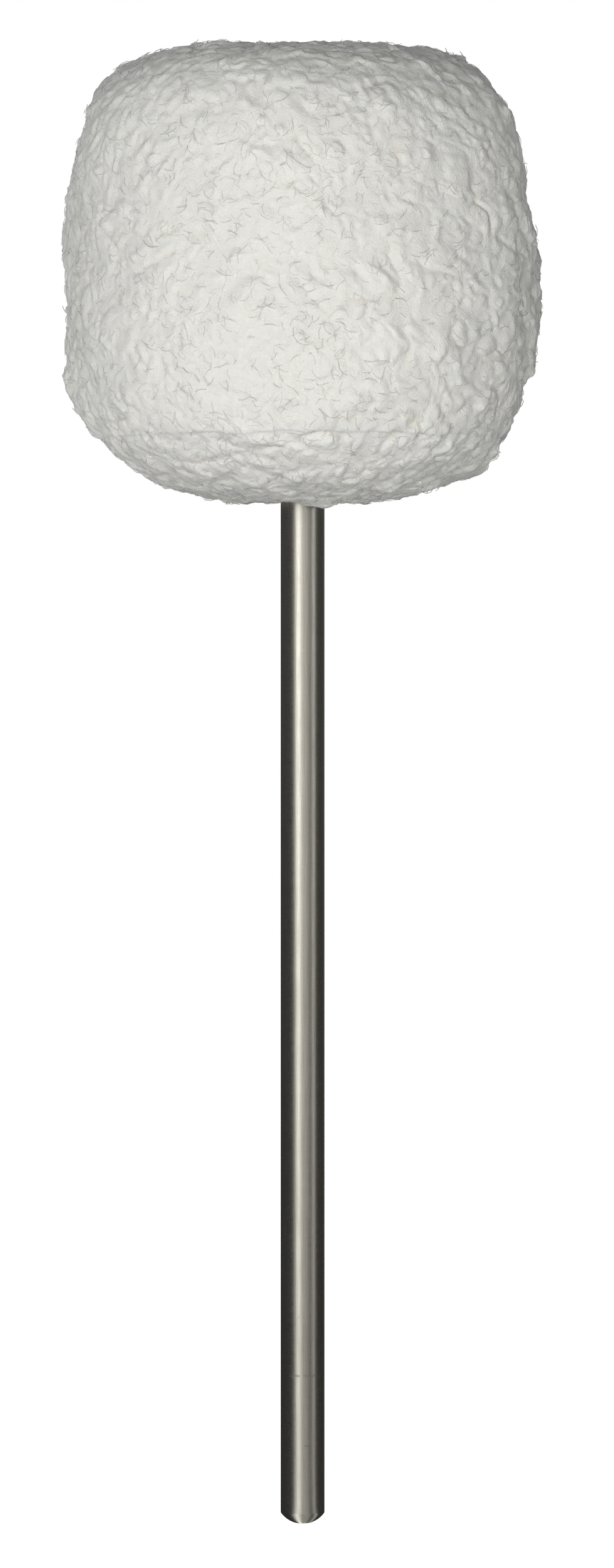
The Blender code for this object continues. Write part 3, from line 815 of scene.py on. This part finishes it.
def build_object():
    """The beater's visible pieces, and finishes for the CAD nodes that stay."""
    fleece = surface("white_fleece", fleece_finish)
    steel = surface("ground_steel", rod_finish)
    slots = {
        "plated_steel": surface("plated_steel", plated_finish),
        "hard_felt": surface("hard_felt", felt_finish),
        "sewing_thread": surface("sewing_thread", thread_finish),
    }
    for part in frame["record"]["subparts"]:
        if part["material_slot"] in slots:
            dress(frame["nodes"][part["node"]], slots[part["material_slot"]])

    panels = {
        "top": (top_panel(), "fleece_top_panel", CAP_ROWS),
        "side": (side_panel(), "fleece_side_band", SIDE_ROWS),
        "bottom": (bottom_panel(), "fleece_bottom_panel", CAP_ROWS),
    }
    tree = fibre_tree()
    for seed, (key, (panel, node, rows)) in enumerate(panels.items()):
        dress(panel, fleece)
        fibres = fibres_on(panel, key + "_fibres", tree, rows, FIBRES_PER_PANEL[key], seed + 1, fleece)
        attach(panel, "root")
        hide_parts(node)
        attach(fibres, "root")

    shaft = dress(rod(), steel)
    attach(shaft, "root")
    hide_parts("shaft")


def backdrop():
    """World: soft light on matt surfaces, and plain white where it is seen."""
    world = bpy.data.worlds.new("studio")
    bpy.context.scene.world = world
    world.use_nodes = True
    graph = Graph(world.node_tree)
    aim = graph.add("ShaderNodeTexCoord", None, None, "Generated")
    upward = graph.part(aim, "Z")
    high = graph.ramp(upward, WORLD_TINT_FROM, WORLD_TINT_TO)
    tint = graph.blend(high, WORLD_LOW_TINT, WORLD_HIGH_TINT)
    above = graph.ramp(upward, WORLD_DIMS_FROM, WORLD_DIMS_TO)
    level = 1.0 - WORLD_LESS_RIGHT * graph.part(aim, "X") - WORLD_LESS_ABOVE * above
    soft = graph.add("ShaderNodeBackground", None, {"Color": tint, "Strength": level})
    white = graph.add("ShaderNodeBackground", None, {"Color": WORLD_WHITE, "Strength": 1.0})
    seen = graph.seen_by("Is Camera Ray", "Is Glossy Ray", "Is Transmission Ray")
    both = graph.add("ShaderNodeMixShader", None, {0: seen, 1: soft, 2: white})
    graph.add("ShaderNodeOutputWorld", None, {"Surface": both})


def floor():
    """A plain white floor under the rod's tip, lifted to white where the camera sees it unshaded."""
    corners = [(-1, -1), (1, -1), (1, 1), (-1, 1)]
    mesh = bpy.data.meshes.new("floor")
    mesh.from_pydata([(x * FLOOR_HALF, y * FLOOR_HALF, -FLOOR_DROP) for x, y in corners], [], [(0, 1, 2, 3)])
    made, graph = blank_material("floor_white")
    matt = graph.add("ShaderNodeBsdfDiffuse", None, {"Color": FLOOR_GREY})
    lift = graph.seen_by("Is Camera Ray", "Is Glossy Ray") * FLOOR_LIFT
    glow = graph.add("ShaderNodeEmission", None, {"Strength": lift})
    both = graph.add("ShaderNodeAddShader", None, {0: matt, 1: glow})
    graph.add("ShaderNodeOutputMaterial", None, {"Surface": both})
    obj = dress(linked("floor", mesh), made)


def card_finish():
    """Glow of the cards: pale strips on dark, dimmer towards the floor."""
    made, graph = blank_material("cards")
    point = graph.place()
    bearing = graph.maths("ARCTAN2", graph.part(point, "X"), graph.part(point, "Y") * -1.0)
    lit = graph.ramp(graph.part(point, "Z"), TENT_FADE_FROM, TENT_FADE_TO)
    fade = TENT_FOOT_SHARE + (1.0 - TENT_FOOT_SHARE) * lit
    level = TENT_DARK
    for angle, spread, strength in STRIPS:
        level = level + strength * graph.bell(bearing, math.radians(angle), math.radians(spread))
    glow = graph.add("ShaderNodeEmission", None, {"Color": TENT_TINT, "Strength": level * fade})
    graph.add("ShaderNodeOutputMaterial", None, {"Surface": glow})
    return made


def reflection_tent():
    """Studio cards round the beater and under it, seen only in the metal."""
    points = []
    for height in (TENT_LOW, TENT_HIGH):
        for i in range(TENT_SIDES):
            turn = 2.0 * math.pi * i / TENT_SIDES
            points.append((TENT_RADIUS * math.cos(turn), TENT_RADIUS * math.sin(turn), height))
    faces = []
    for i in range(TENT_SIDES):
        j = (i + 1) % TENT_SIDES
        faces.append((i, j, TENT_SIDES + j, TENT_SIDES + i))
    faces.append(list(range(TENT_SIDES)))
    mesh = bpy.data.meshes.new("tent")
    mesh.from_pydata(points, [], faces)
    obj = dress(linked("tent", mesh), card_finish())
    for ray in ("camera", "diffuse", "transmission", "volume_scatter", "shadow"):
        setattr(obj, "visible_" + ray, False)


def lamp(name, place, size, power, colour):
    """A soft square lamp aimed at the head, unseen by the camera and in the metal."""
    data = bpy.data.lights.new(name, "AREA")
    data.size = size
    data.energy = power
    data.color = colour
    obj = linked(name, data)
    obj.location = place
    aim = Vector((0.0, 0.0, HEAD_MIDDLE * MM)) - Vector(place)
    obj.rotation_euler = aim.to_track_quat("-Z", "Y").to_euler()
    obj.visible_glossy = False
    obj.visible_camera = False


def camera():
    """The photograph's view, level and from the front."""
    data = bpy.data.cameras.new("camera")
    data.sensor_fit = "AUTO"
    data.sensor_width = SENSOR
    data.lens = SENSOR * CAMERA_DISTANCE / FRAME_TALL
    obj = linked("camera", data)
    obj.location = (CAMERA_SIDE, -CAMERA_DISTANCE, CAMERA_HEIGHT)
    obj.rotation_euler = (math.radians(90.0), 0.0, 0.0)
    bpy.context.scene.camera = obj


bpy.context.scene.view_settings.view_transform = "Standard"
noise.seed_set(PILE_SEED)
build_object()
backdrop()
floor()
reflection_tent()
for settings in LAMPS:
    lamp(*settings)
camera()
